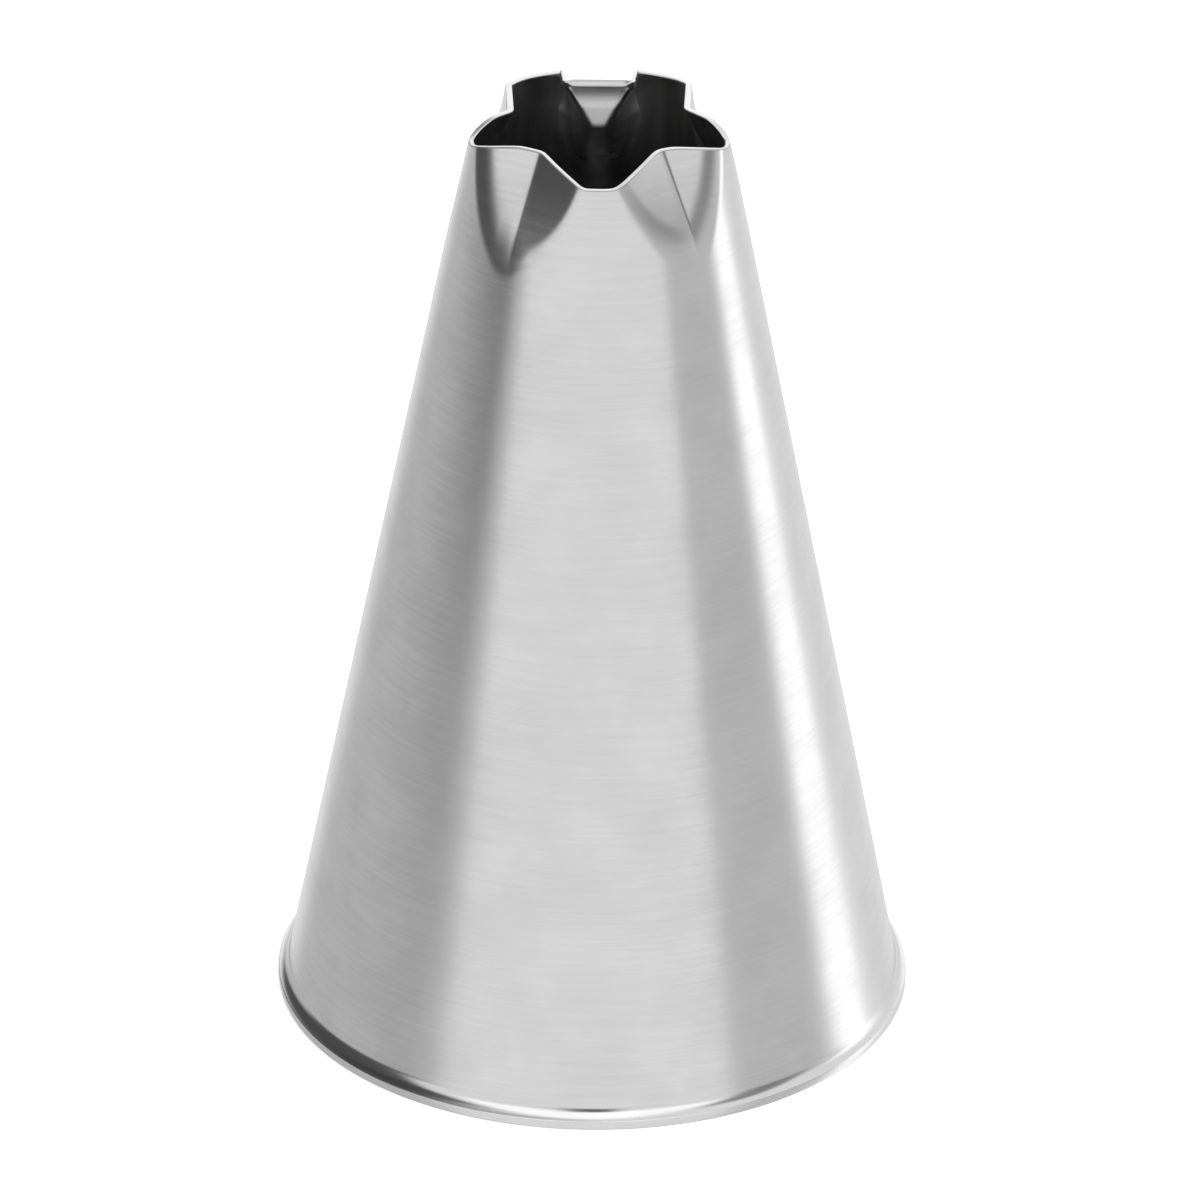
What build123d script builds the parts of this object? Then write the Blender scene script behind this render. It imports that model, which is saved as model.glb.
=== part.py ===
from build123d import *
from math import cos, radians, sin, sqrt
import os

# A piping nozzle for a pastry bag. It is drawn from one piece of stainless sheet, flared into a lip at
# its base, and pressed at its mouth into five petals. It stands on the lip with its mouth up.
# The origin is the centre of the base and +Z is the axis. The front petal faces -Y.
# Lengths are millimetres. Azimuths are degrees from the front petal, growing towards +X.

# Cone
height = 29.3                 # from the base to the highest points of the mouth
cone_foot_radius = 9.79       # where the outer line of the cone would meet the base plane
cone_mouth_radius = 3.84      # outer radius of the cone at full height
sheet = 0.2                   # thickness of the wall

# Base lip, where the drawn sheet stays thicker than in the wall
lip_width = 0.21              # how far its edge stands out past the foot of the cone
lip_thickness = 0.28          # height of its edge
cove_share = 1.4              # radius of the bend above the lip, as a share of the lip's width
bend_share = 1.7              # the same for the bend inside

# Creases in front and at the sides. The sheet is pressed into a V, sharp outside, that is deepest at the
# mouth and opens out flat where the crease runs out. Each has the azimuths of the petal edge before it, of
# its own bottom and of the petal edge after it, all at the mouth.
crease_length = 3.0           # height over which it runs out
front_crease_radius = 2.91    # from the axis to the bottom of the V, at the mouth
side_crease_radius = 2.79
crease_azimuths = [(7, 38.7, 67), (88.5, 109.7, 136.5), (223.5, 250.3, 271.5), (293, 321.3, 353)]
crease_radii = [front_crease_radius, side_crease_radius, side_crease_radius, front_crease_radius]

# Rear crease, a channel. From the mouth its floor leans in and narrows, as a flat land, down to a knee.
# Below the knee the floor runs back out to the cone and the crease opens out flat.
rear_crease_length = 3.6      # height over which it runs out
rear_crease_width = 2.3       # between the petal edges beside it
land_length = 1.3             # height from the knee to the mouth
land_radius = 3.13            # from the axis to the land, at the mouth
land_width = 2.0              # at the mouth
knee_radius = 2.84            # from the axis to the land's lower end
knee_width = 0.36             # of the floor at the knee and below it

# Dips in the rim, one over the front petal and one over each side petal
dip_depth = 0.5
front_dip_floor = 0.96        # width of its bottom
front_dip_reach = 1.82        # from its middle to where it meets the full height
side_dip_azimuth = 84
side_dip_floor = 0.54
side_dip_front_reach = 1.85   # the same on the side towards the front petal
side_dip_rear_reach = 0.75
dip_bend = 0.3                # radius at both ends of a dip's bottom

overrun = 0.3                 # how far a cutting shape runs past what it cuts

lip_radius = cone_foot_radius + lip_width
crease_foot = height - crease_length
rear_crease_foot = height - rear_crease_length
knee = height - land_length
taper = (cone_foot_radius - cone_mouth_radius) / height    # radius lost for each unit of height


def cone_radius(z):
    return cone_foot_radius - taper * z


def place(azimuth, radius, z):
    turn = radians(azimuth)
    return Vector(radius * sin(turn), -radius * cos(turn), z)


def crease_radius(mouth_radius, z):
    """From the axis to the bottom of a crease, on a line that meets the cone where the crease runs out."""
    share = (z - crease_foot) / crease_length
    return cone_radius(crease_foot) * (1 - share) + mouth_radius * share


def rear_edge_radius(z):
    """From the axis back to the middle between the petal edges beside the rear crease."""
    return sqrt(cone_radius(z) ** 2 - (rear_crease_width / 2) ** 2)


# Sections of the rear crease: height, radius of the floor, half its width, and radius between the edges
rear_foot_radius = cone_radius(rear_crease_foot)
rear_foot_section = (rear_crease_foot, rear_foot_radius, knee_width / 2, rear_foot_radius)
knee_section = (knee, knee_radius, knee_width / 2, rear_edge_radius(knee))
rear_mouth_section = (height, land_radius, land_width / 2, rear_edge_radius(height))
rear_lean = (rear_foot_radius - knee_radius) / (knee - rear_crease_foot)


def pressed_form(depth, bend):
    """Everything inside the steel's surface, taken at a depth below its outer side."""
    wall_depth = depth * sqrt(1 + taper**2)
    lip_top = lip_thickness * (1 - depth / sheet)
    corner_radius = cone_radius(lip_top) - wall_depth
    with BuildPart() as form:
        # The drawn cone, flared at its foot
        with BuildSketch(Plane.XZ) as profile:
            with BuildLine():
                Polyline(
                    (0, -overrun),
                    (lip_radius + overrun, -overrun),
                    (lip_radius + overrun, lip_top),
                    (corner_radius, lip_top),
                    (cone_radius(height + overrun) - wall_depth, height + overrun),
                    (0, height + overrun),
                    close=True,
                )
            make_face()
            fillet(profile.vertices().sort_by_distance((corner_radius, lip_top))[0], radius=bend)
        revolve(axis=Axis.Z)

        # The V creases, each lofted from below its foot to above the mouth. Their sides are drawn twice as
        # long as they show, to end outside the cone.
        for (before, azimuth, after), mouth_radius in zip(crease_azimuths, crease_radii):
            lean = (cone_radius(crease_foot) - mouth_radius) / crease_length
            for level in (crease_foot - overrun, height + overrun):
                opening = (level - crease_foot) / crease_length
                bottom = place(azimuth, crease_radius(mouth_radius, level), level)
                left, right = [
                    (
                        2 * opening * (cone_mouth_radius * cos(radians(edge - azimuth)) - mouth_radius),
                        2 * cone_mouth_radius * sin(radians(edge - azimuth)),
                    )
                    for edge in (before, after)
                ]
                with BuildSketch(Plane(origin=bottom, x_dir=place(azimuth, 1, 0))) as valley:
                    with BuildLine():
                        Polyline(
                            (0, 0),
                            left,
                            (cone_foot_radius, left[1]),
                            (cone_foot_radius, right[1]),
                            right,
                            close=True,
                        )
                    make_face()
                    if depth > 0:
                        drop = depth * sqrt(1 + lean**2)
                        offset(amount=drop, kind=Kind.INTERSECTION)
                        fillet(valley.vertices().sort_by_distance((0, 0))[0], radius=drop)
            loft(mode=Mode.SUBTRACT)

        # The rear crease, lofted from below its foot to the knee, and from there to above the mouth. Its
        # walls are drawn three times as long as they show.
        for start, end, low, high in (
            (rear_foot_section, knee_section, rear_crease_foot - overrun, knee),
            (knee_section, rear_mouth_section, knee, height + overrun),
        ):
            for level in (low, high):
                share = (level - start[0]) / (end[0] - start[0])
                floor_radius, half_floor, edge_radius = [
                    first * (1 - share) + last * share for first, last in zip(start[1:], end[1:])
                ]
                wall_rise = 3 * (edge_radius - floor_radius)
                wall_end = half_floor + 3 * (rear_crease_width / 2 - half_floor)
                bottom = place(180, floor_radius, level)
                with BuildSketch(Plane(origin=bottom, x_dir=place(180, 1, 0))) as channel:
                    with BuildLine():
                        Polyline(
                            (0, half_floor),
                            (wall_rise, wall_end),
                            (cone_foot_radius, wall_end),
                            (cone_foot_radius, -wall_end),
                            (wall_rise, -wall_end),
                            (0, -half_floor),
                            close=True,
                        )
                    make_face()
                    if depth > 0:
                        drop = depth * sqrt(1 + rear_lean**2)
                        offset(amount=drop, kind=Kind.INTERSECTION)
                        fillet(channel.vertices().sort_by_distance((0, 0))[:2], radius=drop)
            loft(mode=Mode.SUBTRACT)
    return form.part


with BuildPart() as nozzle_shell:
    add(pressed_form(0, cove_share * lip_width))
    add(pressed_form(sheet, bend_share * lip_width), mode=Mode.SUBTRACT)

    # Trimmed round the lip, level at the base and level at the mouth
    with BuildSketch():
        Circle(lip_radius)
    extrude(amount=height, mode=Mode.INTERSECT)

    # The dips in the rim
    for azimuth, floor, left, right in (
        (0, front_dip_floor, front_dip_reach, front_dip_reach),
        (side_dip_azimuth, side_dip_floor, side_dip_front_reach, side_dip_rear_reach),
        (-side_dip_azimuth, side_dip_floor, side_dip_rear_reach, side_dip_front_reach),
    ):
        outward = place(azimuth, 1, 0)
        facing = Plane(origin=(0, 0, height), x_dir=outward.rotate(Axis.Z, 90), z_dir=outward)
        with BuildSketch(facing) as notch:
            with BuildLine():
                Polyline(
                    (-left - (left - floor / 2) * overrun / dip_depth, overrun),
                    (-floor / 2, -dip_depth),
                    (floor / 2, -dip_depth),
                    (right + (right - floor / 2) * overrun / dip_depth, overrun),
                    close=True,
                )
            make_face()
            fillet(notch.vertices().group_by(Axis.Y)[0], radius=dip_bend)
        extrude(amount=cone_foot_radius, mode=Mode.SUBTRACT)

nozzle_shell.part.label = "nozzle_shell"

os.makedirs("parts", exist_ok=True)
export_step(nozzle_shell.part, "parts/nozzle_shell.step")
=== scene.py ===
import math

import bpy
import numpy as np
from mathutils import Matrix, Vector


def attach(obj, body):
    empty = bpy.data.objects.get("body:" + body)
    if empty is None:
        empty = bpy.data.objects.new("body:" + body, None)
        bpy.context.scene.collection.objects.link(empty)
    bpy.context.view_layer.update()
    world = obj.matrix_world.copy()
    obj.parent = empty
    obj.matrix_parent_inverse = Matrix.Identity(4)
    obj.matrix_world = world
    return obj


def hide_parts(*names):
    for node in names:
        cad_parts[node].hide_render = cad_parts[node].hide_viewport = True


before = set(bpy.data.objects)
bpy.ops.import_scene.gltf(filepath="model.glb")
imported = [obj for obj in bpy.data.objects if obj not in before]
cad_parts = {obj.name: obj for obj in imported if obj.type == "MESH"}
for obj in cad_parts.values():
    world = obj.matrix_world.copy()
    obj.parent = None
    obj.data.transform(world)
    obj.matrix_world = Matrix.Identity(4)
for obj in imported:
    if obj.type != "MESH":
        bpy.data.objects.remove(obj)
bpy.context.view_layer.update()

print("frame loaded:", sorted(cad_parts))

# The nozzle is worked out in millimetres, as in the CAD model, and scaled to metres when its mesh is made.
# Azimuths are degrees from the front petal, which faces -Y, and grow towards +X.
mm = 0.001

nozzle = {
    "height": 29.3,
    "coneFoot": 9.79,             # radius where the outer line of the cone meets the base plane
    "coneMouth": 3.84,            # outer radius of the cone at full height
    "sheet": 0.2,                 # wall thickness
    "creaseStart": 24.3,          # below this the section is a plain circle
    "cornerBlur": 0.015,          # how far sharp corners are rounded
    "footBlur": 0.05,             # how much more the rear crease is rounded for each mm below the rim
    "columns": 96,                # columns of faces in half a petal
    "coneRows": 18,
    "coneStart": 1,               # height of the first of these rows
    "petalRows": 84,
    "rimCrowding": 1.4,           # above 1 the petals' rows lie closer together near the rim
    "angleStep": 0.05,            # degrees between the points that a section starts from
    "samples": 8192,              # points of a section while its corners are rounded
    "rearBlur": (0.6, 0.8),       # cosines from the rear between which the foot's rounding sets in
    "levels": 120,                # sections through the petals
    "overrun": 0.2,               # how far the sections go on past the rim
    "loopReach": 70,              # columns to each side in which the inner wall is searched for loops
    "loopShare": 0.97,            # nearer to the outer wall than this share of the thickness is a loop
}

# The cut rim, and a fine dark line of painted shade along its edges
cutRim = {
    "outerRound": 0.05,           # radius along its outer edge, in front
    "rearRound": 0.03,            # the same at the rear
    "innerRound": 0.03,
    "rearFrom": 0.5,              # distances behind the axis between which one changes to the other
    "rearTo": 2,
    "rimShade": ((18, 0.75), (36, 0.2), (54, 0), (72, 0), (90, 0)),    # degrees round the edge, and how dark the painted shade is there
    # how dark the painted shade is along the chamfer above the land
    "chamferShade": 0.25,
    "chamferBehind": 2.6,         # the chamfer is this far behind the axis
    "chamferHalf": 0.9,           # and reaches this far to each side
    "chamferBlur": 2,             # columns over which it ends
    "gap": 0.01,                  # between the chamfer and the wall's first row
    "dipLevel": 29.0,             # height of the section that the dips are measured on
}

# Where the wall grows thinner: along the front of the mouth, and beside the rear crease
thinning = {
    "front": 0.3,
    "frontFrom": -0.8,            # distances in front of the axis between which it sets in
    "frontTo": 1,
    "frontFoot": 26,              # heights between which it sets in
    "frontTop": 28.6,
    "rear": 0.55,
    "rearBehind": 2.6,
    "rearHalf": 1.4,
    "rearFoot": 27.5,
    "steepest": 0.7,              # keeps the wall from growing thick where its side leans back
}

lip = {
    "radius": 10.0,
    "edge": 0.28,                 # height of its edge
    "round": 0.03,                # radius along both sides of the edge
    "slope": 70,                  # tilt of the sheet where it reaches the edge, in degrees
    "innerRadius": 9.885,         # where the inside of the bend meets the base plane
    "innerSlope": 75,
    "wear": 0.3,                  # how far its edge has the look of a cut edge
    "line": 0.6,                  # how dark the painted shade is along its lower corner
    "rows": 14,
}

# The creases in front and at the sides, each a V with a narrow floor that runs from a foot on the cone to
# the mouth. Edges are the petal edges before and after it, at the mouth, and soft is how round they are.
# Fade is how fast each side opens out below the mouth: at 0 it keeps its slope down to the foot.
creases = [
    {"name": "front right", "foot": 26.6, "footTurn": 42.4, "turn": 40.6, "radius": 2.86,
     "edges": (6.5, 69), "soft": (0.32, 0.42), "fade": (2, 0), "floor": 0.06},
    {"name": "right", "foot": 26.4, "footTurn": 112, "turn": 112, "radius": 2.97,
     "edges": (88.5, 133), "soft": (0.3, 0.06), "fade": (1, 1.5), "floor": 0.05},
    {"name": "left", "foot": 26.0, "footTurn": 253, "turn": 253, "radius": 2.93,
     "edges": (228.5, 271.5), "soft": (0.06, 0.3), "fade": (1.5, 1), "floor": 0.05},
    {"name": "front left", "foot": 26.35, "footTurn": 323.5, "turn": 323.5, "radius": 2.96,
     "edges": (290.5, 353), "soft": (0.42, 0.16), "fade": (0, 2), "floor": 0.05},
]
creaseShape = {
    "footSharper": 0.3,           # how much less the petal edges are rounded at the foot of a crease
    "reach": 1.3,                 # radians to each side over which a crease is worked out
    "valleyRound": 0.01,
    "sideBlend": 0.15,            # radians over which one side's rounding changes to the other's
    "steepest": 0.01,             # keeps a side from turning past level
    "far": 1000,                  # radius given where there is no crease
}

# The rear crease, a channel. Its floor leans in to the lowest point of the land and runs back out to the
# cone below. Columns: height, radius of the floor, half its width, and how far the walls lean apart.
rearMiddle = -0.035
rearCrease = [
    (24.3, 5.10, 0.25, 80),
    (25.1, 4.66, 0.26, 72),
    (26.0, 4.11, 0.28, 55),
    (27.0, 3.46, 0.30, 44),
    (27.6, 3.07, 0.28, 40),
    (27.98, 2.85, 0.22, 37),
    (28.5, 3.03, 0.51, 25),
    (29.02, 3.25, 0.86, 11),
    (29.1, 3.285, 0.95, 8),
    (29.3, 3.29, 1.01, 7),
    (29.7, 3.29, 1.01, 7),
]

# The petals beside the rear crease are pressed out past the cone, most at the mouth
rearPetals = {
    "bulge": 0.34,
    "rightBulge": 0.41,
    "foot": 26.0,                 # height where it starts
    "edge": 132,                  # azimuth where it has half of its height, and how softly it ends there
    "soft": 16,
    "azimuth": 195,               # where it is taken beside the rear crease
}

# The flat land inside the rear crease: its lower end, and its half widths there and under the rim
land = {
    "low": 28.0,
    "high": 29.05,
    "halfLow": 0.17,
    "halfHigh": 0.72,
    "chamfer": 0.12,              # of the rim above it
    "shadow": 0.9,                # how dark the step above it is
    "shadowEdge": 0.02,
    "fade": 0.42,                 # height over which the shadow runs out
}

# Dips in the rim: azimuth, half width of the bottom, and how far each side runs out
dips = [
    {"azimuth": 0, "floor": 0.48, "left": 1.82, "right": 1.82, "depth": 0.545},
    {"azimuth": 84, "floor": 0.27, "left": 0.75, "right": 1.85, "depth": 0.5},
    {"azimuth": -84, "floor": 0.27, "left": 1.85, "right": 0.75, "depth": 0.5},
]
dipBlur = 5                       # columns over which the ends of a dip are rounded

taper = (nozzle["coneFoot"] - nozzle["coneMouth"]) / nozzle["height"]
wallTilt = math.atan(taper)
bottoms = sorted([crease["turn"] for crease in creases] + [180])
middles = [(low + high) / 2 for low, high in zip(bottoms, bottoms[1:])]
columnMarks = np.radians(sorted(bottoms + middles + [1.5]))


def coneRadius(z):
    return nozzle["coneFoot"] - taper * z


def rise(value, low, high):
    share = np.clip((value - low) / (high - low), 0, 1)
    return share * share * (3 - 2 * share)


def softMin(a, b, soft):
    overlap = np.clip(soft - np.abs(a - b), 0, None) / soft
    return np.minimum(a, b) - overlap**2 * soft / 4


def petalRadius(z, angles):
    # Radius of the sheet between the creases
    away = np.abs(angles - 180)
    most = np.where(angles < 180, rearPetals["rightBulge"], rearPetals["bulge"])
    lift = most * rise(z, rearPetals["foot"], nozzle["height"])
    edge = 180 - rearPetals["edge"]
    return coneRadius(z) + lift * (1 - rise(away, edge - rearPetals["soft"], edge + rearPetals["soft"]))


def creaseRadius(crease, z, angles):
    # Radius of one crease's V at each angle round the axis, and how softly it meets the petals there
    share = (z - crease["foot"]) / (nozzle["height"] - crease["foot"])
    opening = min(max(share, 0), 1)
    bottom = coneRadius(crease["foot"]) * (1 - share) + crease["radius"] * share
    where = crease["footTurn"] * (1 - share) + crease["turn"] * share
    turn = np.radians((angles - where + 180) % 360 - 180)
    near = np.abs(turn) < creaseShape["reach"]
    turn = np.where(near, turn, 0)
    radius = bottom / np.cos(turn)
    for side, edge, fade in zip((-1, 1), crease["edges"], crease["fade"]):
        reach = math.radians(abs(edge - crease["turn"]))
        slope = opening**fade * (nozzle["coneMouth"] * math.cos(reach) - crease["radius"])
        slope /= nozzle["coneMouth"] * math.sin(reach)
        wing = bottom - slope * crease["floor"] * opening
        wing = wing / np.maximum(np.cos(turn) - slope * np.sin(side * turn), creaseShape["steepest"])
        radius = np.where(side * turn > 0, -softMin(-radius, -wing, creaseShape["valleyRound"]), radius)
    first, last = crease["soft"]
    across = rise(turn, -creaseShape["sideBlend"], creaseShape["sideBlend"])
    soft = (first + (last - first) * across) * (1 - creaseShape["footSharper"] * (1 - opening))
    return np.where(near, radius, creaseShape["far"]), soft


def rearWalls(z):
    # The rear crease at one height: the corner of its floor and the point where its wall meets the petal
    heights, floors, halves, leans = zip(*rearCrease)
    floor, half = np.interp(z, heights, floors), np.interp(z, heights, halves)
    lean = math.radians(np.interp(z, heights, leans))
    petal = float(petalRadius(z, rearPetals["azimuth"]))
    if floor > math.sqrt(petal**2 - half**2):
        return None
    along = half * math.sin(lean) + floor * math.cos(lean)
    reach = -along + math.sqrt(along**2 + petal**2 - half**2 - floor**2)
    return (half, floor), (half + reach * math.sin(lean), floor + reach * math.cos(lean))


def blurAlong(x, y, spread):
    # Rounds the corners of a closed, evenly spaced curve by blurring it along its length
    length = np.hypot(np.diff(x, append=x[0]), np.diff(y, append=y[0])).sum()
    wave = np.fft.fftfreq(len(x), length / len(x))
    damp = np.exp(-2 * (math.pi * spread * wave) ** 2)
    return [np.fft.ifft(np.fft.fft(axis) * damp).real for axis in (x, y)]


def blurColumns(values, spread):
    damp = np.exp(-2 * (math.pi * spread * np.fft.fftfreq(len(values))) ** 2)
    return np.fft.ifft(np.fft.fft(values) * damp).real


def sectionPoints(z):
    # The outer surface at one height, at columns that keep to the creases and to the petals' middles
    angles = np.arange(0, 360, nozzle["angleStep"])
    radius = petalRadius(z, angles)
    for crease in creases:
        radius = softMin(radius, *creaseRadius(crease, z, angles))
    turns = np.radians(angles)
    x, y = radius * np.sin(turns), -radius * np.cos(turns)
    walls = rearWalls(z)
    if walls:
        (half, floor), (wide, deep) = walls
        keep = (np.abs(x - rearMiddle) > wide) | (y < 0)
        before, after = keep & (angles < 180), keep & (angles >= 180)
        corners = np.array([wide, half, 0, -half, -wide]) + rearMiddle
        x = np.concatenate([x[before], corners, x[after]])
        y = np.concatenate([y[before], [deep, floor, floor, floor, deep], y[after]])
    x, y = np.append(x, x[0]), np.append(y, y[0])
    run = np.concatenate([[0], np.cumsum(np.hypot(np.diff(x), np.diff(y)))])
    even = np.linspace(0, run[-1], nozzle["samples"], endpoint=False)
    x, y = np.interp(even, run, x), np.interp(even, run, y)
    sharp = blurAlong(x, y, nozzle["cornerBlur"])
    below = max(nozzle["height"] - z, 0)
    rounded = blurAlong(x, y, nozzle["cornerBlur"] + nozzle["footBlur"] * below)
    rear = rise(y / np.hypot(x, y), *nozzle["rearBlur"])
    x, y = [a * (1 - rear) + b * rear for a, b in zip(sharp, rounded)]
    turned = np.maximum.accumulate(np.unwrap(np.arctan2(x, -y)))
    run = np.concatenate([[0], np.cumsum(np.hypot(np.diff(x, append=x[0]), np.diff(y, append=y[0])))])
    marks = np.interp(columnMarks, np.append(turned, turned[0] + 2 * math.pi), run)
    ends = np.append(marks[1:], marks[0] + run[-1])
    spots = np.concatenate([
        np.linspace(start, end, nozzle["columns"], endpoint=False) for start, end in zip(marks, ends)
    ]) % run[-1]
    return np.interp(spots, run, np.append(x, x[0])), np.interp(spots, run, np.append(y, y[0]))


def mouthHeights(x, y):
    # Height of the rim over each column, from the dips
    rim = np.full_like(x, nozzle["height"])
    for dip in dips:
        turn = math.radians(dip["azimuth"])
        outward = x * math.sin(turn) - y * math.cos(turn)
        across = x * math.cos(turn) + y * math.sin(turn)
        reach = np.where(across > 0, dip["left"], dip["right"])
        share = np.clip((reach - np.abs(across)) / (reach - dip["floor"]), 0, 1)
        rim -= dip["depth"] * np.where(outward > 0, share, 0)
    return blurColumns(rim, dipBlur)


def outerRows():
    # The outer surface from above the lip's bend to just under the rim, as rows of points
    start = nozzle["creaseStart"]
    levels = np.linspace(start, nozzle["height"] + nozzle["overrun"], nozzle["levels"])
    stack = np.array([sectionPoints(z) for z in levels])       # level, axis, column
    columns = np.arange(stack.shape[2])
    rows = []
    for z in np.linspace(nozzle["coneStart"], start, nozzle["coneRows"], endpoint=False):
        scale = coneRadius(z) / coneRadius(start)
        rows.append(np.stack([stack[0, 0] * scale, stack[0, 1] * scale, np.full(len(columns), z)], 1))
    near = np.argmin(np.abs(levels - cutRim["dipLevel"]))
    top = mouthHeights(stack[near, 0], stack[near, 1]) - cutRim["outerRound"]
    for share in 1 - np.linspace(1, 0, nozzle["petalRows"]) ** nozzle["rimCrowding"]:
        z = start + (top - start) * share
        place = (z - levels[0]) / (levels[1] - levels[0])
        low = np.clip(place.astype(int), 0, len(levels) - 2)
        part = place - low
        x, y = [
            stack[low, axis, columns] * (1 - part) + stack[low + 1, axis, columns] * part
            for axis in (0, 1)
        ]
        rows.append(np.stack([x, y, z], 1))
    return np.array(rows)


def innerRow(outer, inward, width):
    # The inner surface beside one row: the outer one moved in level, without the loops that this makes
    # inside sharp corners, and spread evenly again between the creases and the petals' middles
    moved = outer + inward * width[:, None]
    count = len(outer)
    close = np.zeros(count, bool)
    for step in range(-nozzle["loopReach"], nozzle["loopReach"] + 1):
        other = np.roll(outer, step, axis=0)
        gap = np.hypot(moved[:, 0] - other[:, 0], moved[:, 1] - other[:, 1])
        close |= gap < nozzle["loopShare"] * np.minimum(width, np.roll(width, step))
    columns = nozzle["columns"]
    row = np.empty_like(outer)
    for start in range(0, count, columns):
        ids = np.arange(start, start + columns + 1) % count
        kept = ids[~close[ids] | (ids % columns == 0)]
        points = moved[kept]
        run = np.concatenate([[0], np.cumsum(np.hypot(*np.diff(points[:, :2], axis=0).T))])
        spots = np.linspace(0, run[-1], columns, endpoint=False)
        for axis in range(3):
            row[ids[:-1], axis] = np.interp(spots, run, points[:, axis])
    return row


def wallRows():
    # Rows of the outer and inner surfaces, and the level direction in from the outer one
    outer = outerRows()
    along = np.roll(outer, -1, axis=1) - np.roll(outer, 1, axis=1)
    normal = np.cross(along, np.gradient(outer, axis=0))
    normal /= np.linalg.norm(normal, axis=2, keepdims=True)
    level = np.linalg.norm(normal[:, :, :2], axis=2, keepdims=True)
    inward = np.concatenate([-normal[:, :, :2] / level, np.zeros_like(level)], 2)
    across, back, height = outer[:, :, 0], outer[:, :, 1], outer[:, :, 2]
    rear = (back > thinning["rearBehind"]) & (np.abs(across) < thinning["rearHalf"])
    rear &= height > thinning["rearFoot"]
    thin = 1 - thinning["rear"] * np.where(rear, normal[:, :, 0] ** 4, 0)
    front = rise(-back, thinning["frontFrom"], thinning["frontTo"])
    front *= rise(height, thinning["frontFoot"], thinning["frontTop"])
    width = nozzle["sheet"] / np.maximum(level[:, :, 0], thinning["steepest"])
    width *= thin * (1 - thinning["front"] * front)
    inner = np.array([innerRow(*row) for row in zip(outer, inward, width)])
    return outer, inner, inward


def landMask(rows):
    # 1 on the flat land inside the rear crease, 0 elsewhere
    share = np.clip((rows[:, :, 2] - land["low"]) / (land["high"] - land["low"]), 0, 1)
    half = land["halfLow"] + (land["halfHigh"] - land["halfLow"]) * share
    inside = (rows[:, :, 2] > land["low"]) & (rows[:, :, 2] < land["high"])
    inside &= (rows[:, :, 1] > 0) & (np.abs(rows[:, :, 0] - rearMiddle) < half)
    return inside.astype(float)


def flare(tipRadius, tipHeight, inset, slope):
    # Radius and height along the lip's bend, from its tip up to where it runs into the wall
    end = math.radians(slope)
    bend = tipRadius - nozzle["coneFoot"] + inset + taper * tipHeight
    bend /= 1 / math.cos(wallTilt) - math.cos(end) - taper * math.sin(end)
    middle = (tipRadius + bend * math.cos(end), tipHeight + bend * math.sin(end))
    tilts = np.linspace(end, wallTilt, lip["rows"])
    return [(middle[0] - bend * math.cos(tilt), middle[1] - bend * math.sin(tilt)) for tilt in tilts]


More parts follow.
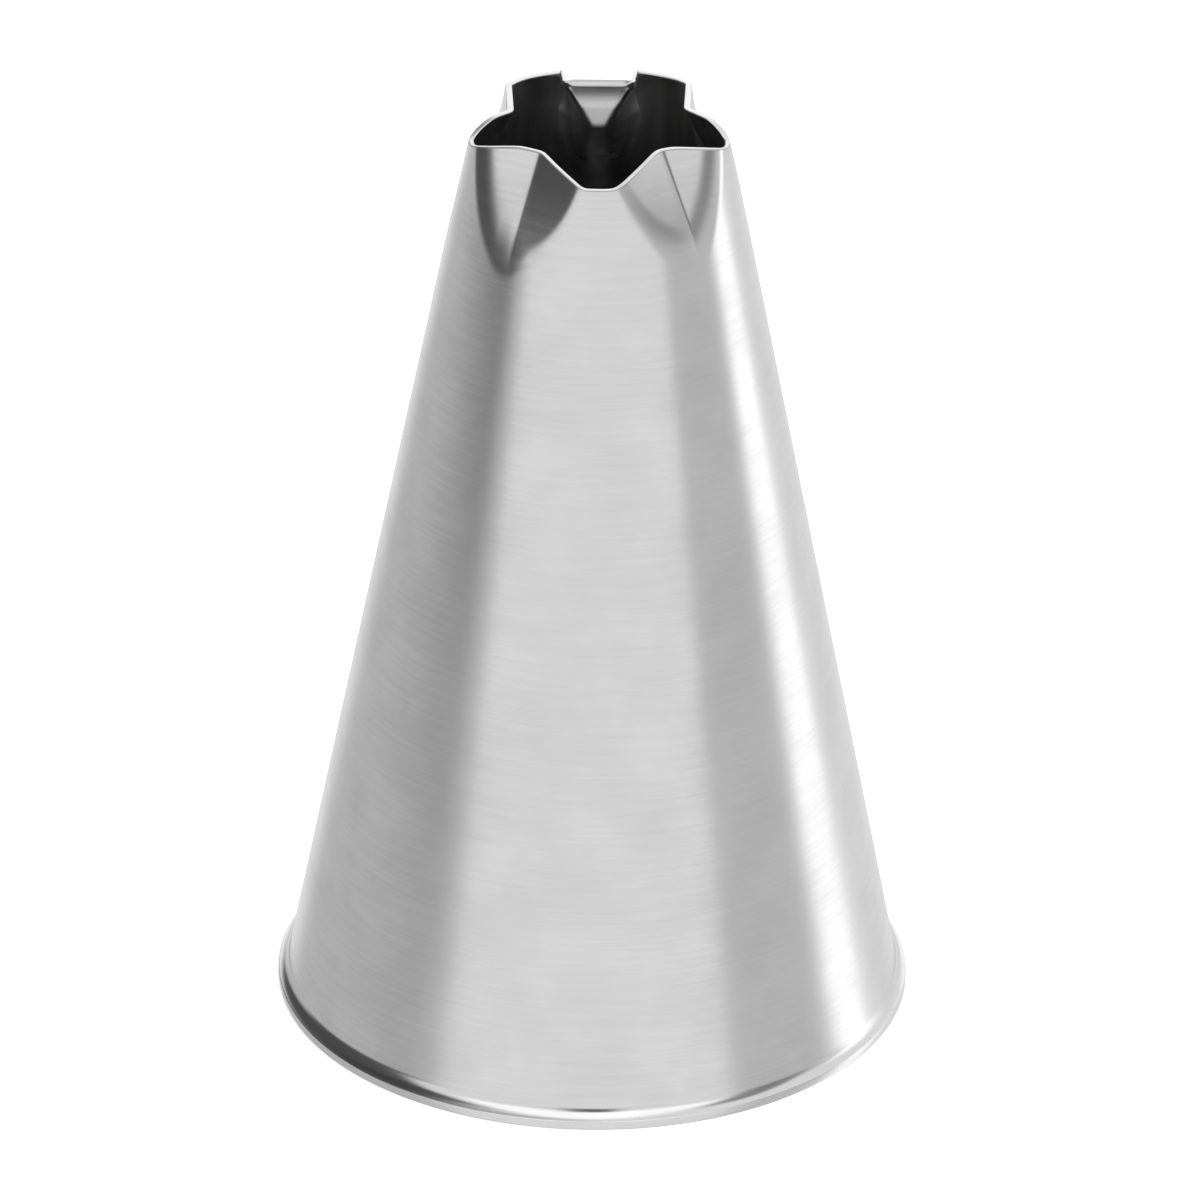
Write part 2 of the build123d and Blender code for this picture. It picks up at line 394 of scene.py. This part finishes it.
def nozzleMesh():
    outer, inner, inward = wallRows()
    columns = outer.shape[1]
    angle = np.arctan2(outer[0, :, 0], -outer[0, :, 1])
    innerAngle = np.arctan2(inner[0, :, 0], -inner[0, :, 1])
    rows, cutMarks, insideMarks, lineMarks = [], [], [], []

    # shading is how much painted shade darkens the row
    def put(row, cut=0.0, inside=0.0, line=0.0):
        rows.append(row)
        lineMarks.append(np.broadcast_to(line, columns).astype(float))
        cutMarks.append(np.broadcast_to(cut, columns).astype(float))
        insideMarks.append(np.full(columns, float(inside)))

    def ring(radius, z, angles=angle):
        return np.stack([radius * np.sin(angles), -radius * np.cos(angles), np.full(columns, z)], 1)

    # Underside and edge of the lip
    outside, edge, small = lip["radius"], lip["edge"], lip["round"]
    put(ring((lip["innerRadius"] + outside) / 2, 0), lip["wear"])
    for turn in np.radians(np.linspace(0, 90, 5)):
        # A dark line of painted shade round the lower corner, where the lip meets the floor
        dark = lip["line"] * math.sin(2 * turn)
        radius, z = outside - small + small * math.sin(turn), small - small * math.cos(turn)
        put(ring(radius, z), lip["wear"], 0, dark)
    put(ring(outside, edge / 2), lip["wear"])
    top = math.radians(lip["slope"])
    crest = edge - small * math.sin(top)
    for turn in np.linspace(0, top, 4):
        put(ring(outside - small + small * math.cos(turn), crest + small * math.sin(turn)), lip["wear"])

    # Bend above the lip and the wall
    for radius, z in flare(outside - small + small * math.cos(top), edge, 0, lip["slope"])[1:]:
        put(ring(radius, z))
    for row in outer:
        put(row)

    # Cut rim, rounded along both edges, with a chamfer inside the rear crease, and painted shade along its
    # outer edge and the chamfer
    up = np.array([0, 0, 1.0])
    deep, rearRound = cutRim["outerRound"], cutRim["rearRound"]
    rearShare = rise(outer[-1, :, 1], cutRim["rearFrom"], cutRim["rearTo"])[:, None]
    small = deep + (rearRound - deep) * rearShare
    # A fine dark line of painted shade, darkest where the rounding leaves the outer wall
    for degrees, rimShade in cutRim["rimShade"]:
        turn = math.radians(degrees)
        climb = deep - small + small * math.sin(turn)
        put(outer[-1] + inward[-1] * small * (1 - math.cos(turn)) + up * climb, 1, 0, rimShade)
    small = cutRim["innerRound"]
    crown = inner[-1] + up * (deep - small)
    rearward = inner[-1, :, 1] > cutRim["chamferBehind"]
    rearward &= np.abs(inner[-1, :, 0] - rearMiddle) < cutRim["chamferHalf"]
    rearward = blurColumns(rearward.astype(float), cutRim["chamferBlur"])
    chamfer = (rearward * land["chamfer"])[:, None]
    for share in (0, 0.5, 1):
        turn = math.radians(90 - 60 * share)
        back = inward[-1] * (small * (1 - math.cos(turn)) + chamfer * (1 - share))
        climb = small * math.sin(turn) - chamfer * share
        put(crown - back + up * climb, 1, 0, rearward * cutRim["chamferShade"])

    # Inner wall down to the bend inside the lip
    masks = landMask(inner)
    for row, mask in zip(inner[::-1], masks[::-1]):
        lower = np.minimum(row[:, 2], crown[:, 2] - chamfer[:, 0] - cutRim["gap"])
        shaded = rise(lower, land["high"] - land["fade"], land["high"] + land["shadowEdge"])
        shaded *= rearward * land["shadow"]
        put(np.stack([row[:, 0], row[:, 1], lower], 1), mask, 1, shaded)
    inset = nozzle["sheet"] / math.cos(wallTilt)
    for radius, z in flare(lip["innerRadius"], 0, inset, lip["innerSlope"])[::-1]:
        put(ring(radius, z, innerAngle), 0, 1)

    grid = np.array(rows) * mm
    ids = np.arange(len(rows) * columns).reshape(len(rows), columns)
    above = np.roll(ids, -1, axis=0)
    faces = np.stack([ids, np.roll(ids, -1, axis=1), np.roll(above, -1, axis=1), above], -1).reshape(-1, 4)
    mesh = bpy.data.meshes.new("nozzleShell")
    mesh.from_pydata(grid.reshape(-1, 3).tolist(), [], faces.tolist())
    mesh.polygons.foreach_set("use_smooth", np.ones(len(faces), bool))
    for name, values in (("cutEdge", cutMarks), ("inside", insideMarks), ("paintedShade", lineMarks)):
        marks = mesh.attributes.new(name, "FLOAT", "POINT")
        marks.data.foreach_set("value", np.array(values).reshape(-1))
    mesh.update()
    mesh.validate()
    return mesh


shell = bpy.data.objects.new("nozzleShell", nozzleMesh())
bpy.context.scene.collection.objects.link(shell)
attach(shell, "root")
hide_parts("nozzle_shell")
print("nozzle built:", len(shell.data.polygons), "faces")

steel = {
    "colour": (0.69, 0.69, 0.688, 1),
    "dullColour": (0.57, 0.57, 0.57, 1),       # where the satin finish is dullest
    "cutColour": (0.76, 0.76, 0.76, 1),        # cut edges and the land
    # The inside is painted lighter than the outer steel as painted light, and darker further down as
    # painted shade
    "paintedInsideColour": (0.88, 0.88, 0.88, 1),
    "shadeAndStreakColour": (0.35, 0.35, 0.35, 1),          # painted shade inside, below the petals, which the drawn streaks take as well
    "insideShadeFrom": 0.0272,           # metres above the base, where the painted shade inside starts
    "insideShadeTo": 0.0245,
    "lineColour": (0.07, 0.07, 0.07, 1),       # painted shade: the fine dark lines along the rim and the lip, and the step above the land
    "roughness": 0.2,
    "insideRoughness": 0.3,
    "cutRoughness": 0.45,
    "anisotropy": 0.2,
    "lineRoughness": 0.05,        # how much the satin lines change the roughness
    "mottleRoughness": 0.016,     # the same for the softer patches
    "lineDepth": 0.0000003,       # metres
    "lineShade": 0.25,            # how much the satin lines dull the colour
    "patchShade": 0.35,           # the same for the softer patches
    "streakShade": 0.5,           # and for the drawn streaks inside
    "speckleShade": 0.3,          # and for the speckle of a cut edge
}

# Patterns of the steel: repeats per metre, scale along each axis, detail, and spread about the middle level
patterns = {
    "Lines": (9000, (0.04, 0.04, 1), 3, 0.25),
    "Patches": (500, (1, 1, 1), 2, 0.15),
    "Speckles": (12000, (1, 1, 1), 1, 0.5),
    "Streaks": (1500, (1, 1, 0.06), 2, 0.15),
}


def mathNode(tree, operation, *values):
    # A maths node fed by numbers or sockets
    node = tree.nodes.new("ShaderNodeMath")
    node.operation = operation
    for socket, value in zip(node.inputs, values):
        if isinstance(value, bpy.types.NodeSocket):
            tree.links.new(value, socket)
        else:
            socket.default_value = value
    return node.outputs[0]


def satinGrain():
    # Fine lines round the cone, soft patches, the speckle of a cut edge and drawn streaks down the inside,
    # each from 0 to 1
    group = bpy.data.node_groups.new("satinGrain", "ShaderNodeTree")
    for name, (repeats, scale, detail, spread) in patterns.items():
        kind = "NodeSocketFloat"
        socket = group.interface.new_socket(name + " per Metre", in_out="INPUT", socket_type=kind)
        socket.default_value = repeats
        group.interface.new_socket(name, in_out="OUTPUT", socket_type=kind)
    nodes, links = group.nodes, group.links
    given, result = nodes.new("NodeGroupInput"), nodes.new("NodeGroupOutput")
    place = nodes.new("ShaderNodeTexCoord")
    for name, (repeats, scale, detail, spread) in patterns.items():
        scaled = nodes.new("ShaderNodeVectorMath")
        scaled.operation = "MULTIPLY"
        scaled.inputs[1].default_value = scale
        links.new(place.outputs["Object"], scaled.inputs[0])
        noise = nodes.new("ShaderNodeTexNoise")
        noise.inputs["Detail"].default_value = detail
        links.new(scaled.outputs[0], noise.inputs["Vector"])
        links.new(given.outputs[name + " per Metre"], noise.inputs["Scale"])
        level = nodes.new("ShaderNodeMapRange")
        level.inputs["From Min"].default_value = 0.5 - spread
        level.inputs["From Max"].default_value = 0.5 + spread
        links.new(noise.outputs[0], level.inputs["Value"])
        links.new(level.outputs["Result"], result.inputs[name])
    return group


def satinSteel():
    material = bpy.data.materials.new("satinSteel")
    material.use_nodes = True
    tree = material.node_tree
    nodes, links = tree.nodes, tree.links
    shader = nodes["Principled BSDF"]
    shader.inputs["Metallic"].default_value = 1
    shader.inputs["Anisotropic"].default_value = steel["anisotropy"]
    tangent = nodes.new("ShaderNodeTangent")
    tangent.direction_type = "RADIAL"
    tangent.axis = "Z"
    links.new(tangent.outputs["Tangent"], shader.inputs["Tangent"])
    grain = nodes.new("ShaderNodeGroup")
    grain.node_tree = satinGrain()
    masks = {}
    for name in ("cutEdge", "inside", "paintedShade"):
        masks[name] = nodes.new("ShaderNodeAttribute")
        masks[name].attribute_name = name

    def mixed(kind, factor, first, second):
        node = nodes.new("ShaderNodeMix")
        node.data_type = kind
        slots = [socket for socket in node.inputs if socket.enabled]
        for socket, value in zip(slots, (factor, first, second)):
            if isinstance(value, bpy.types.NodeSocket):
                links.new(value, socket)
            else:
                socket.default_value = value
        return [socket for socket in node.outputs if socket.enabled][0]

    cut, inside = masks["cutEdge"].outputs["Fac"], masks["inside"].outputs["Fac"]
    dull = mathNode(tree, "MULTIPLY", grain.outputs["Patches"], steel["patchShade"])
    dull = mathNode(tree, "MULTIPLY_ADD", grain.outputs["Lines"], steel["lineShade"], dull)
    colour = mixed("RGBA", dull, steel["colour"], steel["dullColour"])
    place = nodes.new("ShaderNodeTexCoord")
    split = nodes.new("ShaderNodeSeparateXYZ")
    links.new(place.outputs["Object"], split.inputs[0])
    # Painted light and shade inside: lighter near the mouth, darker towards the bottom
    deep = nodes.new("ShaderNodeMapRange")
    deep.interpolation_type = "SMOOTHSTEP"
    links.new(split.outputs["Z"], deep.inputs["Value"])
    deep.inputs["From Min"].default_value = steel["insideShadeTo"]
    deep.inputs["From Max"].default_value = steel["insideShadeFrom"]
    paintedInsideColour = mixed("RGBA", deep.outputs["Result"], steel["shadeAndStreakColour"], steel["paintedInsideColour"])
    streak = mathNode(tree, "MULTIPLY", grain.outputs["Streaks"], steel["streakShade"])
    paintedInsideColour = mixed("RGBA", streak, paintedInsideColour, steel["shadeAndStreakColour"])
    colour = mixed("RGBA", inside, colour, paintedInsideColour)
    speckle = mathNode(tree, "MULTIPLY", grain.outputs["Speckles"], steel["speckleShade"])
    speckled = mixed("RGBA", speckle, steel["cutColour"], steel["dullColour"])
    colour = mixed("RGBA", cut, colour, speckled)
    # Painted shade along the edges and on the step above the land
    colour = mixed("RGBA", masks["paintedShade"].outputs["Fac"], colour, steel["lineColour"])
    links.new(colour, shader.inputs["Base Color"])
    roughness = mixed("FLOAT", inside, steel["roughness"], steel["insideRoughness"])
    for name, amount in (("Lines", steel["lineRoughness"]), ("Patches", steel["mottleRoughness"])):
        centred = mathNode(tree, "SUBTRACT", grain.outputs[name], 0.5)
        roughness = mathNode(tree, "MULTIPLY_ADD", centred, amount, roughness)
    links.new(mixed("FLOAT", cut, roughness, steel["cutRoughness"]), shader.inputs["Roughness"])
    bump = nodes.new("ShaderNodeBump")
    bump.inputs["Distance"].default_value = steel["lineDepth"]
    links.new(grain.outputs["Lines"], bump.inputs["Height"])
    links.new(bump.outputs["Normal"], shader.inputs["Normal"])
    return material


shell.data.materials.append(satinSteel())
print("steel made")

floor = {
    "size": 3.0,
    "shade": 0.8,
    "roughness": 0.9,
    "lift": 0.5,                  # how much brighter the camera sees it
    "underRadius": 0.0097,        # of the patch under the nozzle
    "underHeight": 0.00001,
    "sides": 96,
}

# Soft cards round the nozzle, each laid over those before it. Columns: name, azimuths where it starts and
# ends, heights where it starts and ends in degrees above the horizon, shade, and how far its edges blur
# across and upwards. The front shade is what lies between them.
frontShade = 1.0
cards = [
    ("back", 128, 232, -90, 4, 0.89, 14, 10),
    ("back box", 150, 210, 5, 60, 1.4, 14, 10),
    ("top box", -50, 50, 30, 90, 1.5, 10, 12),
    ("left back", -149, -90, -90, 90, 0.62, 24, 10),
    ("left grey", -110, -55, -90, 3, 0.62, 10, 8),
    ("left flag", -120, -64, -7, 4, 0.05, 12, 12),
    ("left high flag", -148, -67.5, 1, 66, 0.09, 5, 8),
    ("left top flag", -148, -62, 42, 66, 0.05, 8, 10),
    ("right strip", 99, 119, -60, 30, 1.6, 7, 10),
    ("right grey", 51, 95, -90, 12, 0.66, 8, 10),
    ("right high grey", 80, 101, 6, 30, 0.8, 8, 8),
    ("right flag", 55, 84, 13, 60, 0.25, 5, 14),
    ("camera", -9, 9, 14, 38, 0.03, 5, 6),
]


def cardGroup():
    # A soft-edged patch of the surroundings between two azimuths and two heights
    group = bpy.data.node_groups.new("softCard", "ShaderNodeTree")
    for name in ("Azimuth", "Height", "From", "To", "Low", "High", "Soft", "Soft High"):
        group.interface.new_socket(name, in_out="INPUT", socket_type="NodeSocketFloat")
    group.interface.new_socket("Mask", in_out="OUTPUT", socket_type="NodeSocketFloat")
    given, result = group.nodes.new("NodeGroupInput").outputs, group.nodes.new("NodeGroupOutput")

    def edge(value, place, soft, start, end):
        node = group.nodes.new("ShaderNodeMapRange")
        node.interpolation_type = "SMOOTHSTEP"
        half = mathNode(group, "MULTIPLY", soft, 0.5)
        group.links.new(value, node.inputs["Value"])
        group.links.new(mathNode(group, "SUBTRACT", place, half), node.inputs["From Min"])
        group.links.new(mathNode(group, "ADD", place, half), node.inputs["From Max"])
        node.inputs["To Min"].default_value, node.inputs["To Max"].default_value = start, end
        return node.outputs["Result"]

    # Azimuth is taken from the card's middle, so that a card may lie across the back
    middle = mathNode(group, "MULTIPLY", mathNode(group, "ADD", given["From"], given["To"]), 0.5)
    width = mathNode(group, "SUBTRACT", given["To"], given["From"])
    halfWidth = mathNode(group, "MULTIPLY", width, 0.5)
    away = mathNode(group, "WRAP", mathNode(group, "SUBTRACT", given["Azimuth"], middle), 180, -180)
    across = edge(mathNode(group, "ABSOLUTE", away), halfWidth, given["Soft"], 1, 0)
    above = edge(given["Height"], given["Low"], given["Soft High"], 0, 1)
    below = edge(given["Height"], given["High"], given["Soft High"], 1, 0)
    mask = mathNode(group, "MULTIPLY", across, mathNode(group, "MULTIPLY", above, below))
    group.links.new(mask, result.inputs["Mask"])
    return group


def studioWorld():
    world = bpy.data.worlds.new("studio")
    bpy.context.scene.world = world
    world.use_nodes = True
    tree = world.node_tree
    nodes, links = tree.nodes, tree.links
    nodes.clear()
    place = nodes.new("ShaderNodeTexCoord")
    split = nodes.new("ShaderNodeSeparateXYZ")
    links.new(place.outputs["Generated"], split.inputs[0])
    forward = mathNode(tree, "MULTIPLY", split.outputs["Y"], -1)
    azimuth = mathNode(tree, "DEGREES", mathNode(tree, "ARCTAN2", split.outputs["X"], forward))
    height = mathNode(tree, "DEGREES", mathNode(tree, "ARCSINE", split.outputs["Z"]))

    def laid(mask, under, over):
        # One shade over another where the mask is 1
        change = mathNode(tree, "SUBTRACT", over, under)
        return mathNode(tree, "MULTIPLY_ADD", mask, change, under)

    group = cardGroup()
    shade = frontShade
    for name, start, end, low, high, cardShade, soft, softHigh in cards:
        node = nodes.new("ShaderNodeGroup")
        node.node_tree = group
        node.label = name
        links.new(azimuth, node.inputs["Azimuth"])
        links.new(height, node.inputs["Height"])
        given = {"From": start, "To": end, "Low": low, "High": high, "Soft": soft, "Soft High": softHigh}
        for key, value in given.items():
            node.inputs[key].default_value = value
        shade = laid(node.outputs["Mask"], shade, cardShade)
    path = nodes.new("ShaderNodeLightPath")
    background = nodes.new("ShaderNodeBackground")
    background.inputs["Color"].default_value = (1, 1, 1, 1)
    links.new(laid(path.outputs["Is Camera Ray"], shade, 1), background.inputs["Strength"])
    links.new(background.outputs[0], nodes.new("ShaderNodeOutputWorld").inputs["Surface"])


def floorMaterial(name, lift):
    # Matt and pale. The lift brightens it for the camera alone, so that it lights nothing.
    material = bpy.data.materials.new(name)
    material.use_nodes = True
    tree = material.node_tree
    shader = tree.nodes["Principled BSDF"]
    shader.inputs["Base Color"].default_value = (floor["shade"], floor["shade"], floor["shade"], 1)
    shader.inputs["Roughness"].default_value = floor["roughness"]
    shader.inputs["Specular IOR Level"].default_value = 0
    shader.inputs["Emission Color"].default_value = (1, 1, 1, 1)
    path = tree.nodes.new("ShaderNodeLightPath")
    strength = mathNode(tree, "MULTIPLY", path.outputs["Is Camera Ray"], lift)
    tree.links.new(strength, shader.inputs["Emission Strength"])
    return material


def disc(name, radius, z, material):
    mesh = bpy.data.meshes.new(name)
    turns = [2 * math.pi * step / floor["sides"] for step in range(floor["sides"])]
    points = [(radius * math.cos(turn), radius * math.sin(turn), z) for turn in turns]
    mesh.from_pydata(points, [], [list(range(len(points)))])
    mesh.materials.append(material)
    piece = bpy.data.objects.new(name, mesh)
    bpy.context.scene.collection.objects.link(piece)
    return piece


# The steel mirrors the world's cards instead of the floor, and a small patch of floor closes its inside
ground = disc("floor", floor["size"], 0, floorMaterial("paleFloor", floor["lift"]))
ground.visible_glossy = False
disc("floorUnderNozzle", floor["underRadius"], floor["underHeight"], floorMaterial("floorUnder", 0))
studioWorld()
print("studio made")

view = {
    "eye": (0.0000447, -0.19718, 0.11281),
    "pitch": 0.4679,              # radians below the horizon
    "yaw": 0.0005,
    "roll": 0.0091,
    "lens": 213.1,
    "sensor": 36,
    "near": 0.01,
    "far": 20,
}


def placeCamera():
    camera = bpy.data.objects.new("camera", bpy.data.cameras.new("camera"))
    bpy.context.scene.collection.objects.link(camera)
    bpy.context.scene.camera = camera
    camera.data.sensor_width = view["sensor"]
    camera.data.lens = view["lens"]
    camera.data.clip_start, camera.data.clip_end = view["near"], view["far"]
    pitch, yaw, roll = view["pitch"], view["yaw"], view["roll"]
    level = math.cos(pitch)
    ahead = Vector((math.sin(yaw) * level, math.cos(yaw) * level, -math.sin(pitch)))
    side = Vector((math.cos(yaw), -math.sin(yaw), 0))
    up = side.cross(ahead)
    right = math.cos(roll) * side + math.sin(roll) * up
    top = math.cos(roll) * up - math.sin(roll) * side
    camera.matrix_world = Matrix((
        (right.x, top.x, -ahead.x, view["eye"][0]),
        (right.y, top.y, -ahead.y, view["eye"][1]),
        (right.z, top.z, -ahead.z, view["eye"][2]),
        (0, 0, 0, 1),
    ))


placeCamera()
bpy.context.scene.view_settings.view_transform = "Standard"
print("camera placed")
